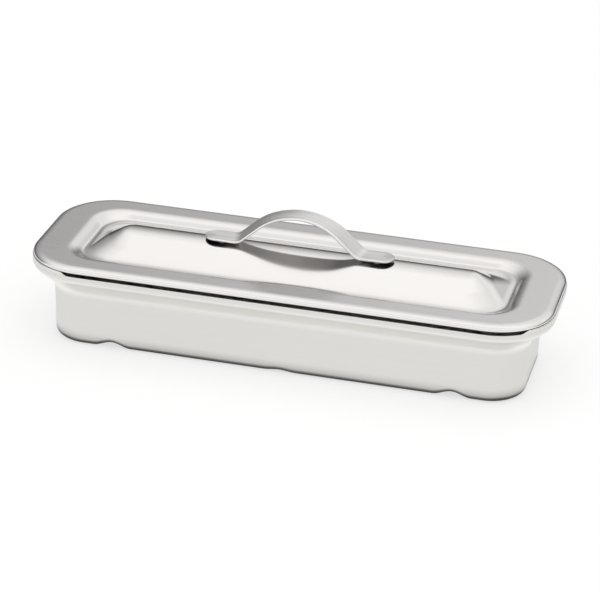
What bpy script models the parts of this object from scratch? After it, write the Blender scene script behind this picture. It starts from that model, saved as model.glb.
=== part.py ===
"""Covered instrument tray: a drawn steel pan, its drawn cover and the strap handle welded on the cover.

Metres, +Z up. The origin is the middle of the base, on the plane that the pan stands on, and the long
side runs along X. Both drawn sheets are closed solids swept round rounded rectangles: a profile gives
inset against height, and each of its points becomes one ring.
"""

import math

import bmesh
import bpy
from mathutils import Vector

# Overall sizes, in metres
LENGTH = 0.2159                 # cover, over its lip, along X
WIDTH = 0.0762                  # cover, over its lip, along Y
RIM_TOP = 0.0381                # top of the cover's flat rim above the base
CORNER_R = 0.0246               # cover's corner in plan
SHEET = 0.0008                  # thickness of both drawn sheets
TOUCH = 0.0003                  # gap kept between touching pieces

# Pan: a collar under the cover's lip, a flare, the wall and the base
COLLAR_OUT = 0.0003             # collar stands this far outside the cover's lip
COLLAR_FOOT = RIM_TOP - 0.0052  # where the collar starts to flare in
COLLAR_DIP = 0.0017             # trimmed edge dips this far along the long sides
DIP_LEFT = (-0.0900, -0.0870)    # places along X where the dip starts and has its full depth
DIP_RIGHT = (0.1010, 0.0980)     # and the same towards the right end
FLARE_OUT_R = 0.0025            # radius from collar to flare
FLARE_IN_R = 0.0090             # radius from flare to wall
FLARE_SLOPE = math.radians(50)  # flare's lean from upright
WALL_INSET = 0.0088             # wall's outside, in from the cover's outline
DRAFT = 0.0004                  # extra inset of the wall at its foot
BASE_R = 0.0030                 # outside radius from wall to base
LANDING = 0.0020                # flat of the base outside its filled middle

# Grooves pressed up across the base: centre along X, depth, full width
GROOVES = ((-0.071, 0.0020, 0.016), (0.0, 0.0006, 0.014), (0.071, 0.0020, 0.016))
GROOVE_TOP = 0.0100             # height up the wall where a groove has run out

# Cover: lip, flat rim, slope down to a trough, and a pillow-shaped panel
LIP_WIDTH = 0.0036              # the lip rolls down along a quarter of an ellipse this wide
LIP_ROLL = 0.0019               # and this high, with a short upright edge below it
LIP_DROP = 0.0022               # lip's edge below the rim's top
RIM_R = 0.0070                  # rounding at the rim's inner edge
SLOPE = math.radians(38)        # slope from the rim to the trough
SLOPE_FOOT_R = 0.0020           # rounding at the slope's foot
TROUGH_INSET = 0.0163           # lowest line of the trough
TROUGH_R = 0.0080               # rounding from the trough to the panel's flank
FLANK = math.radians(22.5)      # lean of the panel's flank
RIDGE_R = 0.0150                # rounding of the panel's ridge
CROWN_RISE = 0.0045             # ridge above the rim's top
END_EXTRA = 0.0038              # rim is this much wider at the two ends
END_SQUASH = 0.75               # flanks at the ends are this share as long as those at the sides
PANEL_R = 0.0120                # corner in plan of the panel's rings
RIDGE_FLAT = 0.0008             # half width of the ridge's filled middle

# Strap handle
STRAP_WIDTH = 0.0098
STRAP_THICK = 0.0010
STRAP_HALF = 0.0396             # from the middle to the end of a tab
FOLD_SKEW = 0.0018              # the legs stand this much wider apart at the strap's far edge
ARCH_RISE = 0.0200              # top of the arch above the rim's top
ARCH_R = 0.0245                 # middle line of the arch
LEG_LEAN = math.radians(42)     # lean of the legs from level
BEND_R = 0.0050                 # bend from leg to tab, on the middle line
TAB_RISE = 0.0063               # top of a tab above the rim's top

# Spot welds
WELD_X = 0.0325
WELD_R = 0.0022
WELD_GAP = 0.00015              # left above and below each nugget

CORNER_STEPS = 7
SAME_PLACE = 1e-6               # points closer than this along X share a column
STEEL = (0.78, 0.77, 0.755)
STRAP_STEEL = (0.70, 0.69, 0.68)
WELD_STEEL = (0.55, 0.54, 0.53)


def clear_scene():
    for old in list(bpy.data.objects):
        bpy.data.objects.remove(old, do_unlink=True)


def steel(name, colour, roughness):
    material = bpy.data.materials.new(name)
    material.use_nodes = True
    shader = material.node_tree.nodes["Principled BSDF"]
    shader.inputs["Base Color"].default_value = (*colour, 1.0)
    shader.inputs["Metallic"].default_value = 1.0
    shader.inputs["Roughness"].default_value = roughness
    return material


def smooth_step(low, high, value):
    share = min(max((value - low) / (high - low), 0.0), 1.0)
    return share * share * (3 - 2 * share)


def arc(centre, radius, start, end, steps):
    """Points of an arc in the profile plane (inset, height); angles in radians."""
    points = []
    for step in range(steps + 1):
        angle = start + (end - start) * step / steps
        points.append((centre[0] + radius * math.cos(angle), centre[1] + radius * math.sin(angle)))
    return points


def offset_profile(profile, distance):
    """Shift a profile to its left, as it runs, by the sheet's thickness."""
    shifted = []
    for index, (inset, height) in enumerate(profile):
        before = profile[max(index - 1, 0)]
        after = profile[min(index + 1, len(profile) - 1)]
        run = Vector((after[0] - before[0], after[1] - before[1])).normalized()
        shifted.append((inset - run.y * distance, height + run.x * distance))
    return shifted


def rounded_rectangle(inset_x, inset_y, radius, side_stops):
    """Points anticlockwise, with side_stops (places along X) added on both long sides."""
    half_x = LENGTH / 2 - inset_x - radius
    half_y = WIDTH / 2 - inset_y - radius
    points = []
    for index, (cx, cy) in enumerate(((1, 1), (-1, 1), (-1, -1), (1, -1))):
        for step in range(CORNER_STEPS):
            angle = math.pi / 2 * (index + step / (CORNER_STEPS - 1))
            points.append((cx * half_x + radius * math.cos(angle), cy * half_y + radius * math.sin(angle)))
        if index == 0:
            points += [(stop, WIDTH / 2 - inset_y) for stop in sorted(side_stops, reverse=True)]
        if index == 2:
            points += [(stop, inset_y - WIDTH / 2) for stop in sorted(side_stops)]
    return points


def pan_ring(inset):
    return rounded_rectangle(inset, inset, CORNER_R - inset, groove_stops())


def cover_ring(inset):
    """The rim widens towards the ends, and the panel's end flanks are shorter than its side flanks."""
    rim_edge = slope_profile()[0][0]
    inset_x = inset + END_EXTRA * smooth_step(LIP_WIDTH, rim_edge, inset)
    if inset > TROUGH_INSET:
        inset_x -= (inset - TROUGH_INSET) * (1 - END_SQUASH)
    radius = max(CORNER_R - inset, min(PANEL_R, WIDTH / 2 - inset))
    return rounded_rectangle(inset_x, inset, radius, ())


def groove_stops():
    stops = []
    for centre, _, width in GROOVES:
        stops += [centre + width / 2 * share for share in (-1, -0.6, -0.25, 0.25, 0.6, 1)]
    return stops


def groove_lift(x, height):
    """Height that the base is pressed up at x; the groove runs out up the wall."""
    fade = 1.0 - smooth_step(BASE_R + SHEET, GROOVE_TOP, height)
    lift = 0.0
    for centre, depth, width in GROOVES:
        distance = abs(x - centre) / (width / 2)
        if distance < 1.0:
            lift = depth * (0.5 + 0.5 * math.cos(math.pi * distance))
    return lift * fade


def collar_dip(x):
    return -COLLAR_DIP * smooth_step(*DIP_LEFT, x) * smooth_step(*DIP_RIGHT, x)


def sweep(outer, inner, ring_at, shift):
    """Closed sheet between two profiles that run from its edge to its middle, where flats fill it."""
    mesh = bmesh.new()
    rings = []
    for place, (inset, height) in enumerate(outer + inner[::-1]):
        at_edge = place in (0, len(outer) + len(inner) - 1)
        rings.append([mesh.verts.new((x, y, height + shift(x, height, at_edge))) for x, y in ring_at(inset)])
    turn = len(outer) - 1
    for level, ring in enumerate(rings):
        if level == turn:
            continue
        next_ring = rings[(level + 1) % len(rings)]
        for index in range(len(ring)):
            after = (index + 1) % len(ring)
            mesh.faces.new((ring[index], ring[after], next_ring[after], next_ring[index]))
    fill_flat(mesh, rings[turn])
    fill_flat(mesh, rings[turn + 1])
    return mesh


def fill_flat(mesh, ring):
    """Fill a ring with strips across its narrow way, so that a pressed groove stays a groove."""
    columns = []
    for vert in sorted(ring, key=lambda vert: vert.co.x):
        if columns and vert.co.x - columns[-1][0].co.x < SAME_PLACE:
            columns[-1].append(vert)
        else:
            columns.append([vert])

    def place(vert):
        return round(vert.co.y, 7), -ring.index(vert)

    ordered = [sorted(column, key=place) for column in columns]
    for left, right in zip(ordered, ordered[1:]):
        mesh.faces.new(left + right[::-1])


def finish(name, mesh, material):
    bmesh.ops.recalc_face_normals(mesh, faces=mesh.faces)
    data = bpy.data.meshes.new(name)
    mesh.to_mesh(data)
    mesh.free()
    data.shade_smooth()
    data.set_sharp_from_angle(angle=math.radians(40))
    data.materials.append(material)
    piece = bpy.data.objects.new(name, data)
    bpy.context.scene.collection.objects.link(piece)
    return piece


def pan_profile():
    """Outside of the pan: trimmed edge, collar, flare, wall and base radius."""
    collar_top = RIM_TOP - LIP_DROP - TOUCH
    foot = WALL_INSET + DRAFT
    out_centre = (FLARE_OUT_R - COLLAR_OUT, COLLAR_FOOT)
    knee = arc(out_centre, FLARE_OUT_R, math.pi, math.pi + FLARE_SLOPE, 3)
    neck_width = FLARE_IN_R * (1 - math.cos(FLARE_SLOPE))
    straight = (WALL_INSET - neck_width - knee[-1][0]) / math.sin(FLARE_SLOPE)
    neck_top = knee[-1][1] - straight * math.cos(FLARE_SLOPE)
    neck_centre = (WALL_INSET - FLARE_IN_R, neck_top - FLARE_IN_R * math.sin(FLARE_SLOPE))
    neck = arc(neck_centre, FLARE_IN_R, FLARE_SLOPE, 0.0, 4)
    base = arc((foot + BASE_R, BASE_R), BASE_R, math.pi, math.pi * 1.5, 5)
    return [(-COLLAR_OUT, collar_top)] + knee + neck + base + [(foot + BASE_R + LANDING, 0.0)]


def build_pan():
    outer = pan_profile()
    inner = offset_profile(outer, SHEET)

    def shift(x, height, at_edge):
        return groove_lift(x, height) + (collar_dip(x) if at_edge else 0.0)

    return finish("tray_pan", sweep(outer, inner, pan_ring, shift), steel("pan_steel", STEEL, 0.28))


def panel_profile():
    """Trough, flank and ridge of the panel, from the trough's lowest line inwards."""
    span = WIDTH / 2 - TROUGH_INSET
    ridge_x = WIDTH / 2
    ridge_top = RIM_TOP + CROWN_RISE
    flank_end = (ridge_x - RIDGE_R * math.sin(FLANK), ridge_top - RIDGE_R * (1 - math.cos(FLANK)))
    flank_width = span - (RIDGE_R + TROUGH_R) * math.sin(FLANK)
    flank_foot = flank_end[1] - flank_width * math.tan(FLANK)
    trough = flank_foot - TROUGH_R * (1 - math.cos(FLANK))
    rise = arc((TROUGH_INSET, trough + TROUGH_R), TROUGH_R, math.pi * 1.5, math.pi * 1.5 + FLANK, 3)
    last = math.asin(RIDGE_FLAT / RIDGE_R)
    ridge = arc((ridge_x, ridge_top - RIDGE_R), RIDGE_R, math.pi / 2 + FLANK, math.pi / 2 + last, 6)
    return rise + ridge


def slope_profile():
    """From the rim's inner edge down to the trough, ending just before the trough's lowest line."""
    drop = RIM_TOP - panel_profile()[0][1]
    curved = (RIM_R + SLOPE_FOOT_R) * (1 - math.cos(SLOPE))
    straight = (drop - curved) / math.sin(SLOPE)
    width = (RIM_R + SLOPE_FOOT_R) * math.sin(SLOPE) + straight * math.cos(SLOPE)
    rim_edge = TROUGH_INSET - width
    top = arc((rim_edge, RIM_TOP - RIM_R), RIM_R, math.pi / 2, math.pi / 2 - SLOPE, 3)
    foot_centre = (TROUGH_INSET, RIM_TOP - drop + SLOPE_FOOT_R)
    foot = arc(foot_centre, SLOPE_FOOT_R, math.pi * 1.5 - SLOPE, math.pi * 1.5, 3)
    return top + foot[:-1]


def build_cover():
    lip = []
    for width, height in arc((1.0, -1.0), 1.0, math.pi, math.pi / 2, 5):
        lip.append((width * LIP_WIDTH, RIM_TOP + height * LIP_ROLL))
    top = [(0.0, RIM_TOP - LIP_DROP)] + lip + slope_profile() + panel_profile()
    under = offset_profile(top, -SHEET)
    mesh = sweep(top, under, cover_ring, lambda x, height, at_edge: 0.0)
    return finish("cover", mesh, steel("cover_steel", STEEL, 0.12))


def strap_path():
    """Middle line of the strap in X and Z, from the left tab's end over the arch to the right one."""
    tab_z = RIM_TOP + TAB_RISE - STRAP_THICK / 2
    top_z = RIM_TOP + ARCH_RISE - STRAP_THICK / 2
    curved = (ARCH_R + BEND_R) * (1 - math.cos(LEG_LEAN))
    leg = (top_z - tab_z - curved) / math.sin(LEG_LEAN)
    bend_x = (ARCH_R + BEND_R) * math.sin(LEG_LEAN) + leg * math.cos(LEG_LEAN)
    half = arc((0.0, top_z - ARCH_R), ARCH_R, math.pi / 2, math.pi / 2 - LEG_LEAN, 10)
    half += arc((bend_x, tab_z + BEND_R), BEND_R, math.pi * 1.5 - LEG_LEAN, math.pi * 1.5, 4)
    nose = STRAP_WIDTH / 2
    straight = STRAP_HALF - nose
    half += [(straight + nose * math.sin(math.pi / 2 * step / 7), tab_z) for step in range(8)]
    return [(-x, z) for x, z in half[:0:-1]] + half


def fold_skew(x, y):
    """Outward shift along X of the arch's legs, from none at the near edge to full at the far edge."""
    at_leg = smooth_step(0.0, 0.018, abs(x)) * (1.0 - smooth_step(0.027, 0.036, abs(x)))
    return math.copysign(FOLD_SKEW * (y / STRAP_WIDTH + 0.5) * at_leg, x)


def build_strap():
    """Flat strip carried along its path; its width narrows round each tab's end."""
    path = strap_path()
    nose = STRAP_WIDTH / 2
    tip = nose * 0.15
    mesh = bmesh.new()
    rings = []
    for index, (x, z) in enumerate(path):
        before = path[max(index - 1, 0)]
        after = path[min(index + 1, len(path) - 1)]
        run = Vector((after[0] - before[0], after[1] - before[1])).normalized()
        lift = Vector((-run.y, run.x)) * STRAP_THICK / 2
        past = max(abs(x) - (STRAP_HALF - nose), 0.0)
        half = max(math.sqrt(max(nose * nose - past * past, 0.0)), tip)
        corners = ((-1, -half), (-1, half), (1, half), (1, -half))
        ring = [(x + side * lift.x + fold_skew(x, y), y, z + side * lift.y) for side, y in corners]
        rings.append([mesh.verts.new(point) for point in ring])
    for ring, next_ring in zip(rings, rings[1:]):
        for index in range(4):
            after = (index + 1) % 4
            mesh.faces.new((ring[index], ring[after], next_ring[after], next_ring[index]))
    mesh.faces.new(rings[0])
    mesh.faces.new(rings[-1])
    return finish("strap_handle", mesh, steel("strap_steel", STRAP_STEEL, 0.32))


def build_weld(name, x):
    """Weld nugget: a flat disc between a tab's underside and the panel's ridge."""
    top = RIM_TOP + TAB_RISE - STRAP_THICK - WELD_GAP
    bottom = RIM_TOP + CROWN_RISE + WELD_GAP
    mesh = bmesh.new()
    bmesh.ops.create_cone(
        mesh, cap_ends=True, segments=16, radius1=WELD_R, radius2=WELD_R, depth=top - bottom
    )
    bmesh.ops.translate(mesh, verts=mesh.verts, vec=(x, 0, (top + bottom) / 2))
    return finish(name, mesh, steel(name + "_steel", WELD_STEEL, 0.5))


def main():
    clear_scene()
    build_pan()
    cover = build_cover()
    riding = [build_strap(), build_weld("left_weld", -WELD_X), build_weld("right_weld", WELD_X)]
    for piece in riding:
        piece.parent = cover


main()
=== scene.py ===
"""Visual model of a covered instrument tray: a steel pan formed by deep drawing, its cover and the
cover's strap handle.

Every sheet is a surface of two parameters. A profile in the plane of inset and height is carried round a
rounded rectangle, so that row i of the grid is one point of the profile and column j one place round the
outline. The strap is the same kind of grid, laid out flat and then bent along its path.
"""

from __future__ import annotations

import logging
import math
from dataclasses import dataclass, field
from enum import Enum

import bmesh
import bpy
import numpy as np
from mathutils import Matrix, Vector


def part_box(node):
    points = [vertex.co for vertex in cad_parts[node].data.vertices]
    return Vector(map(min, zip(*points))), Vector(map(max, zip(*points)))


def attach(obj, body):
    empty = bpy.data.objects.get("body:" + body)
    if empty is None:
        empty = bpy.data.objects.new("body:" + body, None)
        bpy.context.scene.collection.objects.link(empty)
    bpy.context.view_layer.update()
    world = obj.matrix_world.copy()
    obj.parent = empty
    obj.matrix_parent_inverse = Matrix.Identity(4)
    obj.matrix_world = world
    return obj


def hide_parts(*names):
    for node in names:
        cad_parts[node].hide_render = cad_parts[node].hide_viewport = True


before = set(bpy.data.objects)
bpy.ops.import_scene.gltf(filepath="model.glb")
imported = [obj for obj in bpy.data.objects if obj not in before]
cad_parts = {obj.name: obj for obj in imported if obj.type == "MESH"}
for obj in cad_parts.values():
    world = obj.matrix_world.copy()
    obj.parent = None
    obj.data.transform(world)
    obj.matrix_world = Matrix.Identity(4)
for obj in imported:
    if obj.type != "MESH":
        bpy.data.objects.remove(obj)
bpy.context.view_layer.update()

LOG = logging.getLogger("instrument_tray")
MM = 0.001
MERGE = 1e-6


# --------------------------------------------------------------------------------------------------
# Curves and grids
# --------------------------------------------------------------------------------------------------


def smooth_step(low: float, high: float, value: np.ndarray) -> np.ndarray:
    """Ease from 0 at low to 1 at high: three times the share squared less twice its cube.

    Args:
        low: Value where the result is 0.
        high: Value where the result is 1; it may be below low.
        value: Values to ease.

    Returns:
        The eased shares, between 0 and 1.
    """
    share = np.clip((value - low) / (high - low), 0.0, 1.0)
    return share * share * (3.0 - 2.0 * share)


def arc(centre: tuple[float, float], radius: float, start: float, end: float, count: int) -> np.ndarray:
    """Arc in a plane: centre plus radius times cosine and sine of evenly spaced angles.

    Args:
        centre: Centre of the arc.
        radius: Its radius.
        start: First angle, in radians.
        end: Last angle.
        count: How many points.

    Returns:
        An array of count points.
    """
    angle = np.linspace(start, end, count)
    return np.column_stack([centre[0] + radius * np.cos(angle), centre[1] + radius * np.sin(angle)])


def line(start: np.ndarray, end: np.ndarray, count: int) -> np.ndarray:
    """Straight run of count points: start plus an even share of the way to end."""
    return np.linspace(start, end, count)


def join(*runs: np.ndarray) -> np.ndarray:
    """Chain runs end to end, leaving out each point that repeats the one before it.

    Args:
        runs: Arrays of points, in order.

    Returns:
        One array of points.
    """
    chained = np.vstack(runs)
    step = np.linalg.norm(np.diff(chained, axis=0), axis=1)
    return chained[np.concatenate([[True], step > 1e-8])]


def run_length(points: np.ndarray) -> np.ndarray:
    """Distance along a chain of points: the running total of the steps between them."""
    step = np.linalg.norm(np.diff(points, axis=0), axis=1)
    return np.concatenate([[0.0], np.cumsum(step)])


@dataclass(frozen=True)
class Outline:
    """Rounded rectangle walked anticlockwise, as places that fit any half sizes and corner radius.

    Each place has a share of the way across in X and in Y, from -1 to 1, and the direction its corner
    arc looks in. A point is the share times the straight half length, plus the radius along the
    direction.
    """

    corner: int = 33
    long_side: int = 60
    short_side: int = 20

    def places(self) -> tuple[np.ndarray, np.ndarray, np.ndarray]:
        """Work out the places round the outline.

        Returns:
            The shares in X, the shares in Y and the directions in radians, one of each per place.
        """
        across, along, angle = [], [], []
        corners = ((1, 1), (-1, 1), (-1, -1), (1, -1))
        for index, (sx, sy) in enumerate(corners):
            turn = np.linspace(index, index + 1, self.corner) * math.pi / 2
            across.append(np.full(self.corner, float(sx)))
            along.append(np.full(self.corner, float(sy)))
            angle.append(turn)
            count = self.long_side if index % 2 == 0 else self.short_side
            nx, ny = corners[(index + 1) % 4]
            share = np.linspace(0.0, 1.0, count + 2)[1:-1]
            across.append(sx + (nx - sx) * share)
            along.append(sy + (ny - sy) * share)
            angle.append(np.full(count, turn[-1]))
        return np.concatenate(across), np.concatenate(along), np.concatenate(angle)

    def rings(
        self, half_x: np.ndarray, half_y: np.ndarray, radius: np.ndarray
    ) -> tuple[np.ndarray, np.ndarray]:
        """Points of one ring for each triple of sizes.

        Args:
            half_x: Half length of each ring.
            half_y: Half width of each ring.
            radius: Corner radius of each ring.

        Returns:
            X and Y, each with a row for each ring and a column for each place.
        """
        share_x, share_y, angle = self.places()
        straight_x, straight_y = (half_x - radius)[:, None], (half_y - radius)[:, None]
        x = straight_x * share_x + radius[:, None] * np.cos(angle)
        y = straight_y * share_y + radius[:, None] * np.sin(angle)
        return x, y


def surface_normals(grid: np.ndarray) -> np.ndarray:
    """Unit normals of a grid that closes round its columns: the cross product of its two differences.

    Where neighbouring columns meet in one point, the difference round the row is the last one that
    isn't zero. The last row is a seam, where the columns meet in pairs, so it takes the row before with
    no part in Y.

    Args:
        grid: Points, by row, column and axis.

    Returns:
        Normals of the same shape.
    """
    round_way = np.roll(grid, -1, axis=1) - np.roll(grid, 1, axis=1)
    moves = np.linalg.norm(round_way, axis=2) > MERGE
    moves[-1] = True
    last = np.maximum.accumulate(np.where(moves, np.arange(grid.shape[1]), 0), axis=1)
    round_way = np.take_along_axis(round_way, last[..., None], axis=1)
    down_way = np.gradient(grid, axis=0)
    normal = np.cross(round_way, down_way)
    normal[-1] = normal[-2] * (1.0, 0.0, 1.0)
    return normal / np.maximum(np.linalg.norm(normal, axis=2, keepdims=True), 1e-12)


@dataclass
class Shell:
    """Closed sheet between an outer grid and the same grid moved inwards by the sheet's thickness."""

    outer: np.ndarray
    thickness: float
    edge_steps: int = 6

    def rows(self) -> np.ndarray:
        """Stack the inside, the half-round trimmed edge and the outside into one grid.

        The inside is the outside less the thickness times its normal. The edge is a half circle between
        the two, round the middle of the sheet.

        Returns:
            The grid, from the inside's seam over the edge to the outside's seam.
        """
        normal = surface_normals(self.outer)
        upwards = 1.0 if self.outer[-1, 0, 2] > self.outer[0, 0, 2] else -1.0
        normal = normal * upwards * np.sign(normal[-1, 0, 2])
        inner = self.outer - self.thickness * normal
        away = self.outer[0] - self.outer[1]
        away /= np.linalg.norm(away, axis=1, keepdims=True)
        middle = (self.outer[0] + inner[0]) / 2
        turn = np.linspace(-math.pi / 2, math.pi / 2, self.edge_steps + 2)[1:-1, None, None]
        half = self.thickness / 2
        edge = middle + half * (np.sin(turn) * normal[0] + np.cos(turn) * away)
        return np.concatenate([inner[::-1], edge, self.outer])


@dataclass
class GridMesh:
    """Mesh piece made from a grid that closes round its columns, with its own UV map and attributes."""

    name: str
    grid: np.ndarray
    attributes: dict[str, np.ndarray] = field(default_factory=dict)

    def quads(self) -> np.ndarray:
        """Number the faces between neighbouring rows and columns, the last column joining the first.

        Returns:
            Four corner indices for each face.
        """
        rows, columns = self.grid.shape[:2]
        index = np.arange(rows * columns).reshape(rows, columns)
        after = np.roll(index, -1, axis=1)
        faces = np.stack([index[:-1], after[:-1], after[1:], index[1:]], axis=-1)
        return faces.reshape(-1, 4)

    def signed_volume(self, faces: np.ndarray) -> float:
        """Sum over the faces' triangles of a sixth of the corners' triple product.

        Args:
            faces: Four corner indices for each face.

        Returns:
            The volume inside, which is below zero where the faces look inwards.
        """
        points = self.grid.reshape(-1, 3)[faces]
        first = np.einsum("ij,ij->i", points[:, 0], np.cross(points[:, 1], points[:, 2]))
        second = np.einsum("ij,ij->i", points[:, 0], np.cross(points[:, 2], points[:, 3]))
        return float((first + second).sum() / 6.0)

    def uv(self) -> np.ndarray:
        """Measure the distances round and across the sheet, in metres.

        Returns:
            Both distances at each face's corners in turn.
        """
        rows, columns = self.grid.shape[:2]
        widest = self.grid[np.argmax(np.ptp(self.grid[..., 0], axis=1))]
        round_way = run_length(np.vstack([widest, widest[:1]]))
        across = run_length(self.grid[:, 0])
        u = np.broadcast_to(round_way, (rows, columns + 1))
        v = np.broadcast_to(across[:, None], (rows, columns + 1))
        both = np.stack([u, v], axis=-1)
        corners = [both[:-1, :-1], both[:-1, 1:], both[1:, 1:], both[1:, :-1]]
        return np.stack(corners, axis=2).reshape(-1, 4, 2)

    def build(self) -> bpy.types.Object:
        """Make the object: faces turned outwards, seams merged and the whole shaded smooth.

        Returns:
            The object, linked to the scene.
        """
        faces, uv = self.quads(), self.uv()
        if self.signed_volume(faces) < 0:
            faces, uv = faces[:, ::-1], uv[:, ::-1]
        mesh = bpy.data.meshes.new(self.name)
        points = self.grid.reshape(-1, 3)
        mesh.vertices.add(len(points))
        mesh.vertices.foreach_set("co", points.astype(np.float32).ravel())
        mesh.loops.add(faces.size)
        mesh.loops.foreach_set("vertex_index", faces.astype(np.int32).ravel())
        mesh.polygons.add(len(faces))
        mesh.polygons.foreach_set("loop_start", np.arange(0, faces.size, 4, dtype=np.int32))
        mesh.uv_layers.new(name="sheet").data.foreach_set("uv", uv.astype(np.float32).ravel())
        for label, values in self.attributes.items():
            layer = mesh.attributes.new(label, "FLOAT", "POINT")
            layer.data.foreach_set("value", values.astype(np.float32).ravel())
        mesh.update(calc_edges=True)
        self.merge_seams(mesh)
        mesh.shade_smooth()
        piece = bpy.data.objects.new(self.name, mesh)
        bpy.context.scene.collection.objects.link(piece)
        return piece

    def merge_seams(self, mesh: bpy.types.Mesh) -> None:
        """Weld the points that meet on the seams and poles, and drop the faces that vanish there.

        Args:
            mesh: The mesh to clean.
        """
        work = bmesh.new()
        work.from_mesh(mesh)
        bmesh.ops.remove_doubles(work, verts=work.verts, dist=MERGE)
        bmesh.ops.dissolve_degenerate(work, edges=work.edges, dist=MERGE)
        work.to_mesh(mesh)
        work.free()


# --------------------------------------------------------------------------------------------------
# Finishes
# --------------------------------------------------------------------------------------------------


class Grain(Enum):
    """Which way fine scratches run: the coordinates they follow and the scale on each axis."""

    ALONG_OBJECT = ("Object", (0.03, 1.0, 1.0))
    ALONG_STRIP = ("UV", (0.03, 1.0, 1.0))
    EVEN = ("Object", (1.0, 1.0, 1.0))


class Nodes:
    """Small helper that adds and links the nodes of one tree."""

    def __init__(self, tree: bpy.types.NodeTree) -> None:
        """Start on an empty tree."""
        self.tree = tree
        tree.nodes.clear()

    def add(self, kind: str, **settings: object) -> bpy.types.Node:
        """Add a node and set its properties and plain inputs.

        Args:
            kind: Blender's name for the node type, without its prefix.
            settings: Properties by name, and inputs by name, as a value or a socket.

        Returns:
            The node.
        """
        prefix = "" if kind.startswith("ShaderNode") else "ShaderNode"
        node = self.tree.nodes.new(prefix + kind)
        for name, value in settings.items():
            if hasattr(node, name):
                setattr(node, name, value)
            else:
                self.feed(node.inputs[name.replace("_", " ")], value)
        return node

    def feed(self, socket: bpy.types.NodeSocket, value: object) -> None:
        """Give an input a plain value, or link it to another node's output.

        Args:
            socket: The input.
            value: A plain value or another node's output.
        """
        if isinstance(value, bpy.types.NodeSocket):
            self.tree.links.new(value, socket)
        else:
            socket.default_value = value

    def math(
        self, operation: str, first: object, second: object = 0.0, clamp: bool = False
    ) -> bpy.types.NodeSocket:
        """Combine two numbers.

        Args:
            operation: Blender's name for the operation.
            first: First number or socket.
            second: Second number or socket.
            clamp: Whether the result is kept between 0 and 1.

        Returns:
            The result's socket.
        """
        node = self.add("Math", operation=operation, use_clamp=clamp)
        self.feed(node.inputs[0], first)
        self.feed(node.inputs[1], second)
        return node.outputs[0]

    def ease(
        self, value: object, low: float, high: float, bottom: float, top: float
    ) -> bpy.types.NodeSocket:
        """Map low to bottom and high to top along a smooth step, held level outside them.

        Args:
            value: Number or socket to map.
            low: Value that gives bottom.
            high: Value that gives top.
            bottom: Result at low.
            top: Result at high.

        Returns:
            The result's socket.
        """
        node = self.add("MapRange", interpolation_type="SMOOTHSTEP")
        names = ("Value", "From Min", "From Max", "To Min", "To Max")
        for name, given in zip(names, (value, low, high, bottom, top)):
            self.feed(node.inputs[name], given)
        return node.outputs["Result"]

    def noise(
        self, vector: bpy.types.NodeSocket, scale: float, detail: float, rough: float
    ) -> bpy.types.NodeSocket:
        """Three-dimensional noise at a scale, as its factor's socket."""
        node = self.add("TexNoise", Vector=vector, Scale=scale, Detail=detail, Roughness=rough)
        return node.outputs["Fac"]

    def stretched(
        self, vector: bpy.types.NodeSocket, scale: tuple[float, float, float]
    ) -> bpy.types.NodeSocket:
        """The coordinates times a scale for each axis."""
        node = self.add("Mapping", Vector=vector, Scale=scale)
        return node.outputs["Vector"]

    def blend(self, share: object, first: object, second: object) -> bpy.types.NodeSocket:
        """Mix two numbers: the first at share 0, the second at share 1.

        Args:
            share: Number or socket between 0 and 1.
            first: Number or socket at share 0.
            second: Number or socket at share 1.

        Returns:
            The result's socket.
        """
        node = self.add("Mix", data_type="FLOAT")
        for index, given in ((0, share), (2, first), (3, second)):
            self.feed(node.inputs[index], given)
        return node.outputs[0]


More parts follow.
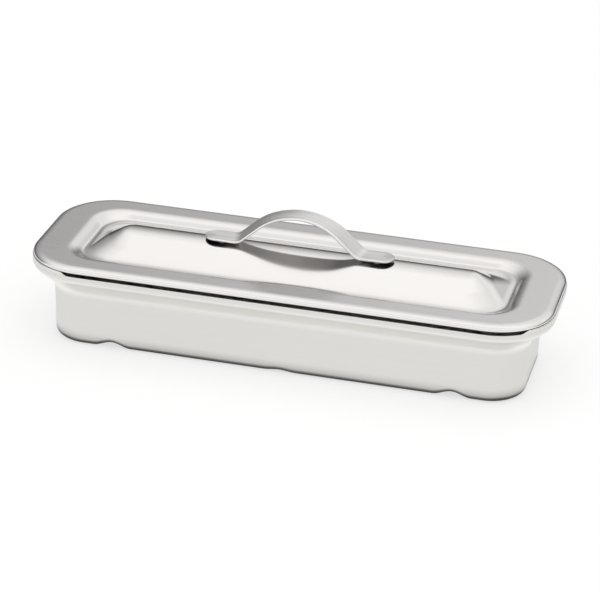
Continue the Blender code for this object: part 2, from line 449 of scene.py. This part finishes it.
@dataclass(frozen=True)
class SteelFinish:
    """Stainless steel: worked grain, rolled streaks, faint handling marks, brighter rubbed edges, and
    painted light and shade in the colour.

    Attribute polish on the mesh goes from 0, as worked, to 1, mirror polished. Attribute rub is 1 where
    an edge or a tight bend has been rubbed bright. A further attribute lifts the colour with painted
    light where a surface would look dark from the shade it reflects, and another lowers it with painted
    shade.
    """

    name: str
    colour: tuple[float, float, float]
    satin: float
    polished: float
    grain: Grain
    streak: float
    smudge: float
    tint: float
    bump: float
    anisotropy: float = 0.0

    def material(self) -> bpy.types.Material:
        """Build the node material.

        Returns:
            The material, whose colour, roughness and bump all vary over the surface.
        """
        made = bpy.data.materials.new(self.name)
        made.use_nodes = True
        nodes = Nodes(made.node_tree)
        follows, stretch = self.grain.value
        where = nodes.add("TexCoord").outputs[follows]
        place = nodes.add("TexCoord").outputs["Object"]
        polish = nodes.add("Attribute", attribute_name="polish").outputs["Fac"]
        rub = nodes.add("Attribute", attribute_name="rub").outputs["Fac"]

        along = nodes.stretched(where, stretch)
        fine = nodes.noise(along, 5200.0, 3.0, 0.6)
        streaks = nodes.noise(along, 900.0, 4.0, 0.55)
        clouds = nodes.noise(place, 34.0, 3.0, 0.5)
        marks = nodes.noise(place, 150.0, 2.0, 0.45)

        worked = nodes.math("MULTIPLY", nodes.math("SUBTRACT", streaks, 0.5), self.streak * 2.0)
        hazy = nodes.math("MULTIPLY", nodes.math("SUBTRACT", clouds, 0.5), self.smudge * 2.0)
        satin = nodes.math("ADD", nodes.math("ADD", worked, hazy), self.satin)
        touched = nodes.math("MULTIPLY", nodes.ease(marks, 0.52, 0.75, 0.0, 1.0), self.smudge * 0.5)
        mirror = nodes.math("ADD", touched, self.polished)
        rough = nodes.blend(polish, satin, mirror)
        rough = nodes.blend(nodes.math("MULTIPLY", rub, 0.7), rough, 0.12)
        rough = nodes.math("MAXIMUM", rough, 0.03)

        shade = nodes.math("MULTIPLY", nodes.math("SUBTRACT", streaks, 0.5), self.tint)
        unpolished = nodes.math("SUBTRACT", 1.0, nodes.math("MULTIPLY", polish, 0.8))
        shade = nodes.math("MULTIPLY", shade, unpolished)
        cloud = nodes.math("MULTIPLY", nodes.math("SUBTRACT", clouds, 0.5), self.tint * 0.4)
        level = nodes.math("ADD", nodes.math("ADD", shade, cloud), 1.0)
        level = nodes.math("ADD", level, nodes.math("MULTIPLY", rub, 0.06))
        level = nodes.math("ADD", level, nodes.math("MULTIPLY", polish, 0.05))
        # Painted light and shade: the colour is lifted where a surface would look dark from the shade it
        # reflects, and lowered where shade falls under things and at the foot.
        painted_brightening = nodes.add("Attribute", attribute_name="painted_brightening").outputs["Fac"]
        painted_shade = nodes.add("Attribute", attribute_name="painted_shade").outputs["Fac"]
        level = nodes.math("ADD", level, nodes.math("MULTIPLY", painted_brightening, 0.25))
        level = nodes.math("SUBTRACT", level, nodes.math("MULTIPLY", painted_shade, 0.42))
        tone = nodes.add("CombineColor")
        for socket, value in zip(tone.inputs, self.colour):
            nodes.feed(socket, nodes.math("MULTIPLY", level, value, clamp=True))

        depth = nodes.blend(polish, nodes.math("ADD", fine, nodes.math("MULTIPLY", streaks, 0.6)), 0.5)
        bump = nodes.add("Bump", Strength=self.bump, Distance=0.0004, Height=depth)

        steel = nodes.add("BsdfPrincipled", Roughness=rough, Normal=bump.outputs["Normal"])
        nodes.feed(steel.inputs["Base Color"], tone.outputs["Color"])
        steel.inputs["Metallic"].default_value = 1.0
        if self.anisotropy:
            steel.inputs["Anisotropic"].default_value = self.anisotropy
            steel.inputs["Anisotropic Rotation"].default_value = 0.25
            tangent = nodes.add("Tangent", direction_type="UV_MAP", uv_map="sheet")
            nodes.feed(steel.inputs["Tangent"], tangent.outputs["Tangent"])
        nodes.feed(nodes.add("OutputMaterial").inputs["Surface"], steel.outputs["BSDF"])
        return made


PAN_FINISH = SteelFinish(
    name="pan_drawn_steel", colour=(0.805, 0.79, 0.762), satin=0.42, polished=0.14,
    grain=Grain.ALONG_OBJECT, streak=0.07, smudge=0.05, tint=0.06, bump=0.03,
)
COVER_FINISH = SteelFinish(
    name="cover_satin_and_polished_steel", colour=(0.805, 0.787, 0.778), satin=0.29, polished=0.13,
    grain=Grain.ALONG_OBJECT, streak=0.04, smudge=0.03, tint=0.04, bump=0.02,
)
STRAP_FINISH = SteelFinish(
    name="strap_rolled_steel", colour=(0.85, 0.835, 0.825), satin=0.36, polished=0.10,
    grain=Grain.ALONG_STRIP, streak=0.16, smudge=0.05, tint=0.60, bump=0.24, anisotropy=0.7,
)
WELD_FINISH = SteelFinish(
    name="weld_steel", colour=(0.56, 0.54, 0.52), satin=0.42, polished=0.3,
    grain=Grain.EVEN, streak=0.10, smudge=0.08, tint=0.2, bump=0.2,
)


# --------------------------------------------------------------------------------------------------
# Pan
# --------------------------------------------------------------------------------------------------


@dataclass(frozen=True)
class Groove:
    """One groove pressed up across the base."""

    centre: float
    depth: float
    width: float


@dataclass
class Plan:
    """Plan sizes that the pan and the cover share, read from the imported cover."""

    corner: float = 24.6 * MM
    sheet: float = 0.8 * MM

    def __post_init__(self) -> None:
        """Read the cover's box and the top of its rim."""
        low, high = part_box("cover")
        self.half_x = (high.x - low.x) / 2
        self.half_y = (high.y - low.y) / 2
        self.rim_top = high.z - Cover.crown_rise


@dataclass
class Pan:
    """Drawn pan: trimmed collar, flare, wall, base radius and a base with pressed grooves."""

    plan: Plan
    collar_out: float = 0.3 * MM
    collar_top: float = 2.5 * MM
    collar_foot: float = 5.2 * MM
    collar_dip: float = 1.2 * MM
    dip_left: tuple[float, float] = (-90.0 * MM, -87.0 * MM)
    dip_right: tuple[float, float] = (101.0 * MM, 98.0 * MM)
    flare_out_r: float = 2.5 * MM
    flare_in_r: float = 9.0 * MM
    flare_slope: float = math.radians(50.0)
    wall_inset: float = 8.8 * MM
    draft: float = 0.4 * MM
    base_r: float = 3.0 * MM
    groove_top: float = 10.0 * MM
    inner_corner: float = 9.0 * MM
    grooves: tuple[Groove, ...] = (
        Groove(-71 * MM, 2.0 * MM, 16 * MM),
        Groove(0.0, 0.6 * MM, 14 * MM),
        Groove(71 * MM, 2.0 * MM, 16 * MM),
    )

    def profile(self) -> np.ndarray:
        """Outside in inset and height: collar, S-shaped flare, wall, base radius, base to its middle.

        Returns:
            Points from the trimmed edge to the middle line of the base.
        """
        top = self.plan.rim_top
        knee_centre = (self.flare_out_r - self.collar_out, top - self.collar_foot)
        knee = arc(knee_centre, self.flare_out_r, math.pi, math.pi + self.flare_slope, 12)
        neck_width = self.flare_in_r * (1 - math.cos(self.flare_slope))
        straight = (self.wall_inset - neck_width - knee[-1, 0]) / math.sin(self.flare_slope)
        neck_top = knee[-1, 1] - straight * math.cos(self.flare_slope)
        neck_z = neck_top - self.flare_in_r * math.sin(self.flare_slope)
        neck_centre = (self.wall_inset - self.flare_in_r, neck_z)
        neck = arc(neck_centre, self.flare_in_r, self.flare_slope, 0.0, 16)
        foot = self.wall_inset + self.draft
        base = arc((foot + self.base_r, self.base_r), self.base_r, math.pi, math.pi * 1.5, 22)
        edge = np.array([-self.collar_out, top - self.collar_top - self.plan.sheet / 2])
        middle = np.array([self.plan.half_y, 0.0])
        return join(
            line(edge, knee[0], 9), knee, line(knee[-1], neck[0], 5), neck,
            line(neck[-1], base[0], 24), base, line(base[-1], middle, 14),
        )

    def lift(self, x: np.ndarray, height: np.ndarray) -> np.ndarray:
        """Height of the pressed grooves: a raised cosine across each, easing to none up the wall.

        Args:
            x: Places along X.
            height: Heights of the plain profile.

        Returns:
            The height to add at each place.
        """
        fade = smooth_step(self.groove_top, self.base_r + self.plan.sheet, height)
        total = np.zeros_like(x)
        for groove in self.grooves:
            share = np.clip(np.abs(x - groove.centre) / (groove.width / 2), 0.0, 1.0)
            total += groove.depth * (0.5 + 0.5 * np.cos(math.pi * share))
        return total * fade

    def surface(self) -> tuple[np.ndarray, np.ndarray]:
        """Carry the profile round the outline, then add the collar's dip and the grooves.

        Returns:
            The outside's grid and its insets.
        """
        profile = self.profile()
        inset, height = profile[:, 0], profile[:, 1]
        room = self.plan.half_y - inset
        radius = np.maximum(self.plan.corner - inset, np.minimum(self.inner_corner, room))
        x, y = Outline(41, 150, 14).rings(self.plan.half_x - inset, room, radius)
        foot = self.plan.rim_top - self.collar_foot
        collar = self.collar_foot - self.collar_top - self.plan.sheet / 2
        up_collar = np.clip((height - foot) / collar, 0.0, 1.0)
        dip = self.collar_dip * smooth_step(*self.dip_left, x) * smooth_step(*self.dip_right, x)
        z = height[:, None] - dip * up_collar[:, None] + self.lift(x, height[:, None])
        return np.stack([x, y, z], axis=-1), inset

    def build(self) -> bpy.types.Object:
        """Make the pan and dress it.

        Returns:
            The pan's object.
        """
        outer, inset = self.surface()
        rows = Shell(outer, self.plan.sheet).rows()
        heights = rows[..., 2]
        rub = smooth_step(self.plan.rim_top - 3.6 * MM, self.plan.rim_top - 2.6 * MM, heights)
        polish = 0.6 * rub
        below_rim = self.plan.rim_top - heights
        # Painted light on the flare: its colour is lifted so it doesn't look dark from the shaded wall
        # and floor it reflects, eased off higher up and near the collar.
        painted_brightening = smooth_step(20.5 * MM, 25.0 * MM, heights)
        painted_brightening = painted_brightening - 0.25 * smooth_step(27.5 * MM, 30.0 * MM, heights)
        painted_brightening = painted_brightening * smooth_step(4.6 * MM, 6.6 * MM, below_rim)
        outside = (np.arange(len(rows)) >= len(rows) - len(outer)).astype(float)[:, None]
        # Painted shade low on the outside, where the base radius looks onto the shaded floor under the
        # pan.
        painted_shade = outside * (1.0 - smooth_step(0.6 * MM, 6.4 * MM, heights))
        attributes = {"rub": rub, "polish": polish, "painted_brightening": painted_brightening, "painted_shade": painted_shade}
        piece = GridMesh("pan_sheet", rows, attributes).build()
        piece.data.materials.append(PAN_FINISH.material())
        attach(piece, "pan")
        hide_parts("tray_pan")
        return piece


# --------------------------------------------------------------------------------------------------
# Cover
# --------------------------------------------------------------------------------------------------


@dataclass
class Cover:
    """Drawn cover: rolled lip, flat rim, slope to a trough, and a pillow-shaped panel with a ridge."""

    plan: Plan
    crown_rise: float = 4.5 * MM
    lip_width: float = 3.6 * MM
    lip_roll: float = 1.9 * MM
    lip_drop: float = 2.35 * MM
    rim_r: float = 7.0 * MM
    slope: float = math.radians(38.0)
    slope_foot_r: float = 2.0 * MM
    trough_inset: float = 16.3 * MM
    trough_r: float = 8.0 * MM
    flank: float = math.radians(22.5)
    ridge_r: float = 15.0 * MM
    end_extra: float = 3.8 * MM
    end_squash: float = 0.75
    panel_corner: float = 12.0 * MM

    def panel(self) -> np.ndarray:
        """Trough, straight flank and round ridge in inset and height.

        Returns:
            Points from the trough's lowest line to the ridge's middle line.
        """
        half, top = self.plan.half_y, self.plan.rim_top + self.crown_rise
        sine, fall = math.sin(self.flank), 1 - math.cos(self.flank)
        flank_width = half - self.trough_inset - (self.ridge_r + self.trough_r) * sine
        trough = top - (self.ridge_r + self.trough_r) * fall - flank_width * math.tan(self.flank)
        low, high = math.pi * 1.5, math.pi / 2
        rise = arc((self.trough_inset, trough + self.trough_r), self.trough_r, low, low + self.flank, 14)
        ridge = arc((half, top - self.ridge_r), self.ridge_r, high + self.flank, high, 36)
        return join(rise, line(rise[-1], ridge[0], 22), ridge)

    def into_trough(self) -> np.ndarray:
        """Rim's inner edge, slope and the slope's foot in inset and height.

        Returns:
            Points from the flat rim to the trough's lowest line.
        """
        drop = self.plan.rim_top - self.panel()[0, 1]
        curved = (self.rim_r + self.slope_foot_r) * (1 - math.cos(self.slope))
        straight = (drop - curved) / math.sin(self.slope)
        width = (self.rim_r + self.slope_foot_r) * math.sin(self.slope) + straight * math.cos(self.slope)
        top_centre = (self.trough_inset - width, self.plan.rim_top - self.rim_r)
        top = arc(top_centre, self.rim_r, math.pi / 2, math.pi / 2 - self.slope, 14)
        foot_centre = (self.trough_inset, self.plan.rim_top - drop + self.slope_foot_r)
        foot = arc(foot_centre, self.slope_foot_r, math.pi * 1.5 - self.slope, math.pi * 1.5, 14)
        return join(top, line(top[-1], foot[0], 5), foot)

    def profile(self) -> np.ndarray:
        """Whole outside of the cover: upright edge, elliptical lip, flat rim, slope, trough and panel.

        Returns:
            Points from the trimmed edge to the ridge's middle line, in inset and height.
        """
        top = self.plan.rim_top
        quarter = arc((1.0, 0.0), 1.0, math.pi, math.pi / 2, 26)
        lip = quarter * (self.lip_width, self.lip_roll) + (0.0, top - self.lip_roll)
        edge = np.array([0.0, top - self.lip_drop + self.plan.sheet / 2])
        inward = self.into_trough()
        return join(line(edge, lip[0], 3), lip, line(lip[-1], inward[0], 12), inward, self.panel())

    def surface(self) -> tuple[np.ndarray, np.ndarray]:
        """Carry the profile round the outline; the rim is wider and the flanks shorter at the ends.

        Returns:
            The outside's grid and its insets.
        """
        profile = self.profile()
        inset, height = profile[:, 0], profile[:, 1]
        rim_edge = self.into_trough()[0, 0]
        inset_x = inset + self.end_extra * smooth_step(self.lip_width, rim_edge, inset)
        inset_x -= np.maximum(inset - self.trough_inset, 0.0) * (1 - self.end_squash)
        room = self.plan.half_y - inset
        radius = np.maximum(self.plan.corner - inset, np.minimum(self.panel_corner, room))
        x, y = Outline(41, 50, 18).rings(self.plan.half_x - inset_x, room, radius)
        z = np.broadcast_to(height[:, None], x.shape)
        return np.stack([x, y, z], axis=-1), inset

    def build(self) -> bpy.types.Object:
        """Make the cover and dress it: satin rim, polished slope and panel, bright trimmed lip.

        Returns:
            The cover's object.
        """
        outer, inset = self.surface()
        rows = Shell(outer, self.plan.sheet).rows()
        edge_rows = len(rows) - 2 * len(outer)
        rim_edge = self.into_trough()[0, 0]
        polish_out = 0.5 * smooth_step(rim_edge, rim_edge + 4.0 * MM, inset)
        polish_out += 0.5 * smooth_step(self.trough_inset, self.trough_inset + 7.0 * MM, inset)
        polish_row = np.concatenate([0.3 * np.ones(len(inset)), np.zeros(edge_rows), polish_out])
        polish = np.broadcast_to(polish_row[:, None], rows.shape[:2])
        rub_out = 1.0 - smooth_step(0.4 * MM, 2.2 * MM, inset)
        rub_row = np.concatenate([np.zeros(len(inset)), np.ones(edge_rows), rub_out])
        rub = np.broadcast_to(rub_row[:, None], rows.shape[:2])
        piece = GridMesh("cover_sheet", rows, {"polish": polish, "rub": rub}).build()
        piece.data.materials.append(COVER_FINISH.material())
        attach(piece, "lid")
        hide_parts("cover")
        return piece


# --------------------------------------------------------------------------------------------------
# Strap handle and its welds
# --------------------------------------------------------------------------------------------------


@dataclass
class Strap:
    """Flat steel strip bent to an arch, with a round-ended tab at each foot."""

    plan: Plan
    width: float = 9.8 * MM
    thick: float = 1.0 * MM
    edge_r: float = 0.36 * MM
    half_length: float = 39.6 * MM
    arch_rise: float = 20.0 * MM
    arch_r: float = 24.5 * MM
    lean: float = math.radians(42.0)
    bend_r: float = 5.0 * MM
    tab_rise: float = 6.3 * MM
    fold_skew: float = 1.8 * MM

    def path(self) -> np.ndarray:
        """Middle line in X and Z: tab, bend, leg and arch, mirrored to the other side.

        Returns:
            Points from the left tab's end to the right one's.
        """
        tab_z = self.plan.rim_top + self.tab_rise - self.thick / 2
        top_z = self.plan.rim_top + self.arch_rise - self.thick / 2
        curved = (self.arch_r + self.bend_r) * (1 - math.cos(self.lean))
        leg = (top_z - tab_z - curved) / math.sin(self.lean)
        bend_x = (self.arch_r + self.bend_r) * math.sin(self.lean) + leg * math.cos(self.lean)
        crown = arc((0.0, top_z - self.arch_r), self.arch_r, math.pi / 2, math.pi / 2 - self.lean, 60)
        down = math.pi * 1.5
        bend = arc((bend_x, tab_z + self.bend_r), self.bend_r, down - self.lean, down, 30)
        end = np.array([self.half_length, tab_z])
        half = join(crown, line(crown[-1], bend[0], 20), bend, line(bend[-1], end, 30))
        return join(half[::-1] * (-1.0, 1.0), half)

    def flat(self) -> np.ndarray:
        """The strip before bending: a stadium in length and width, with rounded long edges.

        Returns:
            A grid of length, width and height, from the underside's seam over the edge to the top's.
        """
        half_w, half_t = self.width / 2, self.thick / 2
        corner = arc((self.edge_r, half_t - self.edge_r), self.edge_r, math.pi, math.pi / 2, 8)
        seam = np.array([half_w, half_t])
        upper = join(corner, line(corner[-1], seam, 12))
        section = np.vstack([upper[::-1] * (1.0, -1.0), upper])
        inset, height = section[:, 0], section[:, 1]
        room = half_w - inset
        length = run_length(self.path())[-1]
        s, w = Outline(25, 260, 1).rings(length / 2 - inset, room, room)
        return np.stack([s, w, np.broadcast_to(height[:, None], s.shape)], axis=-1)

    def skewed(self, x: np.ndarray, w: np.ndarray) -> np.ndarray:
        """Move the legs outwards by the skew times the share across the strip, fading on arch and tabs.

        Args:
            x: Places along X.
            w: Places across the strip.

        Returns:
            The moved places along X.
        """
        reach = np.abs(x)
        at_leg = smooth_step(0.0, 18.0 * MM, reach) * (1.0 - smooth_step(27.0 * MM, 36.0 * MM, reach))
        return x + np.sign(x) * self.fold_skew * (w / self.width + 0.5) * at_leg

    def bend(self, flat: np.ndarray) -> np.ndarray:
        """Lay the flat strip along the path: the path's point plus the height along its normal.

        Args:
            flat: Grid of length, width and height.

        Returns:
            Grid of the bent strip's points.
        """
        path = self.path()
        run = run_length(path) - run_length(path)[-1] / 2
        along = np.gradient(path, run, axis=0)
        along /= np.linalg.norm(along, axis=1, keepdims=True)
        s, w, n = flat[..., 0], flat[..., 1], flat[..., 2]
        tx, tz = np.interp(s, run, along[:, 0]), np.interp(s, run, along[:, 1])
        x = np.interp(s, run, path[:, 0]) - tz * n
        z = np.interp(s, run, path[:, 1]) + tx * n
        return np.stack([self.skewed(x, w), w, z], axis=-1)

    def build(self) -> bpy.types.Object:
        """Make the strap and dress it.

        Returns:
            The strap's object.
        """
        flat = self.flat()
        reach = self.width / 2 - self.edge_r
        rub = smooth_step(reach - 0.5 * MM, reach + 0.1 * MM, np.abs(flat[..., 1]))
        under = smooth_step(0.0, -0.3 * self.thick, flat[..., 2])
        rub = rub * (1.0 - under)
        bent = self.bend(flat)
        # Painted shade on the strap's underside, deeper at the tabs where they sit close over the ridge.
        painted_shade = under * (1.0 + 1.1 * smooth_step(28.0 * MM, 32.0 * MM, np.abs(bent[..., 0])))
        piece = GridMesh("strap", bent, {"rub": rub, "polish": 0.0 * rub, "painted_shade": painted_shade}).build()
        piece.data.materials.append(STRAP_FINISH.material())
        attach(piece, "lid")
        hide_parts("strap_handle")
        return piece


@dataclass
class Weld:
    """Spot weld between a tab and the ridge: a low drum with a squeezed-out, waisted side."""

    name: str
    node: str
    waist: float = 0.25 * MM

    def build(self) -> bpy.types.Object:
        """Turn a profile whose side pulls in by a cosine between two flats, and dress it.

        Returns:
            The weld's object.
        """
        low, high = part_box(self.node)
        centre, radius = (low + high) / 2, (high.x - low.x) / 2
        share = np.linspace(-1.0, 1.0, 13)
        side_r = radius - self.waist * np.cos(share * math.pi / 2)
        side_z = centre.z + share * (high.z - low.z) / 2
        flat_r = radius * np.linspace(0.0, 1.0, 5)[:-1]
        r = np.concatenate([flat_r, side_r, flat_r[::-1]])
        z = np.concatenate([np.full(4, low.z), side_z, np.full(4, high.z)])
        turn = np.linspace(0.0, 2 * math.pi, 49)[:-1]
        x = centre.x + r[:, None] * np.cos(turn)
        y = centre.y + r[:, None] * np.sin(turn)
        grid = np.stack([x, y, np.broadcast_to(z[:, None], x.shape)], axis=-1)
        none = np.zeros(grid.shape[:2])
        piece = GridMesh(self.name, grid, {"rub": none, "polish": none}).build()
        piece.data.materials.append(WELD_FINISH.material())
        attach(piece, "lid")
        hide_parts(self.node)
        return piece


# --------------------------------------------------------------------------------------------------
# Studio
# --------------------------------------------------------------------------------------------------


@dataclass
class Studio:
    """Pale floor, a soft overhead light, a sky that darkens towards the horizon, and the camera."""

    place: tuple[float, float, float] = (0.2223, -0.9372, 0.4703)
    heading: float = math.radians(13.28)
    pitch: float = math.radians(-25.06)
    roll: float = math.radians(2.21)
    lens: float = 155.35
    floor_half: float = 6.0
    dark_from: float = 0.12
    dark_full: float = 0.30
    contact: float = 0.0035
    floor_glow: float = 0.65
    sky_levels: tuple[tuple[float, float], ...] = (
        (0.0, 0.06), (0.10, 0.10), (0.25, 0.36), (0.43, 0.60), (0.64, 0.82), (0.82, 1.0), (0.94, 1.12),
    )

    def camera(self) -> None:
        """Stand the camera at its place: along +Y, turned by heading, tipped by pitch and rolled."""
        data = bpy.data.cameras.new("camera")
        data.lens, data.clip_start, data.clip_end = self.lens, 0.01, 50.0
        camera = bpy.data.objects.new("camera", data)
        turned = Matrix.Rotation(self.heading, 4, "Z")
        tipped = Matrix.Rotation(math.pi / 2 + self.pitch, 4, "X")
        rolled = Matrix.Rotation(self.roll, 4, "Z")
        camera.matrix_world = Matrix.Translation(self.place) @ turned @ tipped @ rolled
        bpy.context.scene.collection.objects.link(camera)
        bpy.context.scene.camera = camera

    def paper(self) -> bpy.types.Material:
        """Pale paper that polished steel sees fade out behind the object and close to its foot:
        reflections see a painted emission, with a painted dark surround behind and a painted contact
        shadow at the foot.

        The reach from the pan's foot is the length of the part of the place that lies past a rectangle
        inside the foot, less the foot's corner radius.

        Returns:
            The floor's material.
        """
        made = bpy.data.materials.new("pale_floor")
        made.use_nodes = True
        nodes = Nodes(made.node_tree)
        place = nodes.add("TexCoord").outputs["Object"]
        axes = nodes.add("SeparateXYZ")
        nodes.feed(axes.inputs[0], place)
        reach = nodes.add("VectorMath", operation="ABSOLUTE")
        nodes.feed(reach.inputs[0], place)
        past = nodes.add("VectorMath", operation="SUBTRACT")
        nodes.feed(past.inputs[0], reach.outputs[0])
        nodes.feed(past.inputs[1], (0.086, 0.016, 1.0))
        beyond = nodes.add("VectorMath", operation="MAXIMUM")
        nodes.feed(beyond.inputs[0], past.outputs[0])
        nodes.feed(beyond.inputs[1], (0.0, 0.0, 0.0))
        length = nodes.add("VectorMath", operation="LENGTH")
        nodes.feed(length.inputs[0], beyond.outputs[0])
        away = nodes.math("SUBTRACT", length.outputs["Value"], 0.013)
        # Painted shade seen only in reflections: a dark surround behind the object and a contact shadow
        # at the pan's foot.
        back = nodes.ease(axes.outputs["Y"], self.dark_from, self.dark_full, 1.0, 0.14)
        near = nodes.ease(away, 0.0, self.contact, 0.10, 1.0)
        lit = nodes.add("MixShader")
        nodes.feed(lit.inputs[0], self.floor_glow)
        nodes.feed(lit.inputs[1], nodes.add("BsdfDiffuse", Color=(0.93, 0.93, 0.93, 1.0)).outputs[0])
        nodes.feed(lit.inputs[2], nodes.add("Emission", Strength=1.0).outputs[0])
        dimmed = nodes.math("MULTIPLY", nodes.math("MULTIPLY", back, near), 0.9)
        mirrored = nodes.add("Emission", Strength=dimmed)
        mix = nodes.add("MixShader")
        nodes.feed(mix.inputs[0], nodes.add("LightPath").outputs["Is Glossy Ray"])
        nodes.feed(mix.inputs[1], lit.outputs[0])
        nodes.feed(mix.inputs[2], mirrored.outputs[0])
        nodes.feed(nodes.add("OutputMaterial").inputs["Surface"], mix.outputs[0])
        return made

    def floor(self) -> None:
        """Lay a pale floor just under the pan."""
        half, drop = self.floor_half, -0.1 * MM
        mesh = bpy.data.meshes.new("floor")
        corners = [(-half, -half, drop), (half, -half, drop), (half, half, drop), (-half, half, drop)]
        mesh.from_pydata(corners, [], [(0, 1, 2, 3)])
        mesh.materials.append(self.paper())
        floor = bpy.data.objects.new("floor", mesh)
        bpy.context.scene.collection.objects.link(floor)

    def sky(self) -> None:
        """Light from all round: dark at the horizon, brighter upwards, dimmer at the back left."""
        world = bpy.data.worlds.new("studio")
        world.use_nodes = True
        bpy.context.scene.world = world
        nodes = Nodes(world.node_tree)
        direction = nodes.add("TexCoord").outputs["Generated"]
        parts = nodes.add("SeparateXYZ")
        nodes.feed(parts.inputs[0], direction)
        ramp = nodes.add("ValToRGB")
        ramp.color_ramp.interpolation = "EASE"
        elements = ramp.color_ramp.elements
        while len(elements) < len(self.sky_levels):
            elements.new(0.5)
        for element, (at, level) in zip(elements, self.sky_levels):
            element.position = at
            element.color = (level, level * 0.995, level * 0.985, 1.0)
        nodes.feed(ramp.inputs[0], parts.outputs["Z"])
        side = nodes.ease(parts.outputs["X"], -0.34, -0.02, 0.66, 1.42)
        low = nodes.ease(parts.outputs["Z"], 0.45, 0.75, 1.0, 0.0)
        weight = nodes.blend(low, 1.0, side)
        behind = nodes.ease(parts.outputs["Y"], -0.2, 0.15, 0.0, 1.0)
        above = nodes.ease(parts.outputs["Z"], 0.78, 0.95, 1.10, 0.95)
        tone = nodes.add("Mix", data_type="RGBA")
        nodes.feed(tone.inputs[0], behind)
        screen = nodes.math("MULTIPLY", nodes.ease(parts.outputs["Z"], 0.22, 0.36, 0.0, 1.0),
                            nodes.ease(parts.outputs["Z"], 0.48, 0.66, 1.0, 0.0))
        front = nodes.math("SUBTRACT", 0.97, nodes.math("MULTIPLY", screen, 0.30))
        nodes.feed(tone.inputs[6], front)
        nodes.feed(tone.inputs[7], ramp.outputs["Color"])
        weight = nodes.blend(behind, above, weight)
        studio = nodes.add("Background")
        nodes.feed(studio.inputs["Color"], tone.outputs[2])
        nodes.feed(studio.inputs["Strength"], weight)
        pale = nodes.add("Background", Color=(1.0, 1.0, 1.0, 1.0))
        mix = nodes.add("MixShader")
        nodes.feed(mix.inputs[0], nodes.add("LightPath").outputs["Is Camera Ray"])
        nodes.feed(mix.inputs[1], studio.outputs[0])
        nodes.feed(mix.inputs[2], pale.outputs[0])
        nodes.feed(nodes.add("OutputWorld").inputs["Surface"], mix.outputs[0])

    def lamp(self) -> None:
        """Hang a wide soft lamp overhead that lights the floor and isn't mirrored in the steel."""
        data = bpy.data.lights.new("overhead", "AREA")
        data.shape, data.size, data.energy = "DISK", 2.4, 9.0
        lamp = bpy.data.objects.new("overhead", data)
        lamp.location = (0.0, 0.0, 1.8)
        lamp.visible_glossy = False
        bpy.context.scene.collection.objects.link(lamp)

    def build(self) -> None:
        """Set up the whole studio."""
        bpy.context.scene.view_settings.view_transform = "Standard"
        self.camera()
        self.floor()
        self.sky()
        self.lamp()


def main() -> None:
    """Build the studio and each sub-assembly in order."""
    logging.basicConfig(level=logging.INFO, format="%(name)s: %(message)s")
    Studio().build()
    plan = Plan()
    welds = [Weld("weld_left", "left_weld"), Weld("weld_right", "right_weld")]
    for maker in [Pan(plan), Cover(plan), Strap(plan), *welds]:
        piece = maker.build()
        LOG.info("%s: %d faces", piece.name, len(piece.data.polygons))


if __name__ == "__main__":
    main()
